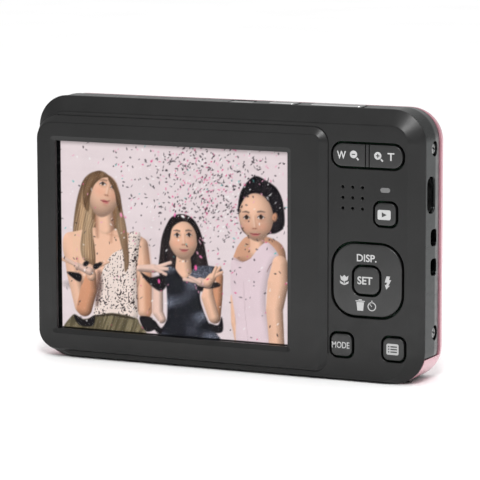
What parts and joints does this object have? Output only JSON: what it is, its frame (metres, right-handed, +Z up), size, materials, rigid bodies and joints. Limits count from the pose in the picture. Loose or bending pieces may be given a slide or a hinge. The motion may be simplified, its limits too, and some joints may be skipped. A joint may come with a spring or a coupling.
{
  "type": "compact digital camera",
  "caption": "Slim compact digital camera with a rear display, button cluster, direction pad, top buttons, side band with port and strap lug, fixed lens, flash, and a hinged battery door.",
  "frame": {"origin": "on the ground under the middle of the camera", "axes": "+X along the body towards the grip side with the port and strap lug, +Y the way the lens points, +Z up; the display faces -Y"},
  "size_m": [0.09, 0.0184, 0.0573],
  "materials": {
    "cover_plastic": "satin graphite moulding with a very fine grain",
    "front_paint": "satin metallic pink paint",
    "band_plating": "dark gunmetal plating, glossy",
    "button_plastic": "satin graphite with light printed symbols",
    "silver_plating": "satin silver plating",
    "steel": "plain steel",
    "black_plastic": "black moulding",
    "lens_glass": "coated optical glass",
    "clear_plastic": "clear polished plastic",
    "screen": "lit display cell",
    "board": "green circuit board",
    "chip": "moulded chip package",
    "contact_gold": "gold-plated contacts",
    "battery_wrap": "printed battery wrap"
  },
  "bodies": {
    "camera_body": {"back_cover": "cover_plastic", "side_band": "band_plating", "front_shell": "front_paint", "chassis": "steel", "display_window": "clear_plastic", "lcd_panel": "screen", "lcd_backlight": "clear_plastic", "lcd_frame": "steel", "main_board": "board", "processor_chip": "chip", "memory_chip": "chip", "key_board": "board", "speaker": "black_plastic", "led_light_pipe": "clear_plastic", "top_switch_board": "board", "usb_shell": "steel", "usb_tongue": "black_plastic", "strap_pocket": "black_plastic", "right_screw_upper": "steel", "right_screw_lower": "steel", "left_screw_upper": "steel", "left_screw_lower": "steel", "bottom_screw_outer": "steel", "bottom_screw_inner": "steel", "tripod_bush": "steel", "battery_bay": "black_plastic", "door_hinge_pin": "steel", "battery": "battery_wrap", "battery_contacts": "contact_gold", "memory_card": "black_plastic", "card_contacts": "contact_gold", "lens_ring": "silver_plating", "lens_shroud": "black_plastic", "lens_window": "lens_glass", "lens_barrel": "black_plastic", "front_element": "lens_glass", "rear_element": "lens_glass", "lens_holder": "black_plastic", "image_sensor": "lens_glass", "sensor_board": "board", "flash_window": "clear_plastic", "flash_reflector": "silver_plating", "flash_tube": "clear_plastic", "flash_capacitor": "black_plastic", "timer_lamp": "clear_plastic", "microphone": "steel"},
    "zoom_rocker": {"zoom_rocker": "button_plastic"},
    "play_button": {"play_button": "button_plastic"},
    "mode_button": {"mode_button": "button_plastic"},
    "menu_button": {"menu_button": "button_plastic"},
    "set_button": {"set_button": "button_plastic"},
    "direction_pad": {"direction_pad": "button_plastic"},
    "pad_gimbal": {"pad_gimbal": "steel"},
    "power_button": {"power_button": "silver_plating"},
    "record_button": {"record_button": "silver_plating"},
    "shutter_button": {"shutter_button": "silver_plating"},
    "battery_door": {"battery_door": "black_plastic"}
  },
  "joints": [
    {"name": "zoom_rock", "type": "hinge", "parent": "camera_body", "child": "zoom_rocker", "pos_m": [0.03285, -0.0065, 0.04734], "axis": [0, 0, 1], "range_deg": [-2.5, 2.5], "stiffness_Nm_per_rad": 0.15},
    {"name": "pad_tilt_side", "type": "hinge", "parent": "camera_body", "child": "pad_gimbal", "pos_m": [0.03286, -0.0062, 0.0215], "axis": [0, 0, 1], "range_deg": [-1.8, 1.8], "stiffness_Nm_per_rad": 0.2},
    {"name": "pad_tilt_up", "type": "hinge", "parent": "pad_gimbal", "child": "direction_pad", "pos_m": [0.03286, -0.0062, 0.0215], "axis": [1, 0, 0], "range_deg": [-1.8, 1.8], "stiffness_Nm_per_rad": 0.2},
    {"name": "play_button_press", "type": "slide", "parent": "camera_body", "child": "play_button", "axis": [0, 1, 0], "range_m": [0, 0.0003], "stiffness_N_per_m": 3000},
    {"name": "mode_button_press", "type": "slide", "parent": "camera_body", "child": "mode_button", "axis": [0, 1, 0], "range_m": [0, 0.0003], "stiffness_N_per_m": 3000},
    {"name": "menu_button_press", "type": "slide", "parent": "camera_body", "child": "menu_button", "axis": [0, 1, 0], "range_m": [0, 0.0003], "stiffness_N_per_m": 3000},
    {"name": "set_button_press", "type": "slide", "parent": "camera_body", "child": "set_button", "axis": [0, 1, 0], "range_m": [0, 0.0003], "stiffness_N_per_m": 3000},
    {"name": "power_button_press", "type": "slide", "parent": "camera_body", "child": "power_button", "axis": [0, 0, -1], "range_m": [0, 0.0003], "stiffness_N_per_m": 3000},
    {"name": "record_button_press", "type": "slide", "parent": "camera_body", "child": "record_button", "axis": [0, 0, -1], "range_m": [0, 0.0003], "stiffness_N_per_m": 3000},
    {"name": "shutter_button_press", "type": "slide", "parent": "camera_body", "child": "shutter_button", "axis": [0, 0, -1], "range_m": [0, 0.0003], "stiffness_N_per_m": 3000},
    {"name": "battery_door_swing", "type": "hinge", "parent": "camera_body", "child": "battery_door", "pos_m": [0.0235, -0.004, 0.0013], "axis": [-1, 0, 0], "range_deg": [0, 90]}
  ]
}
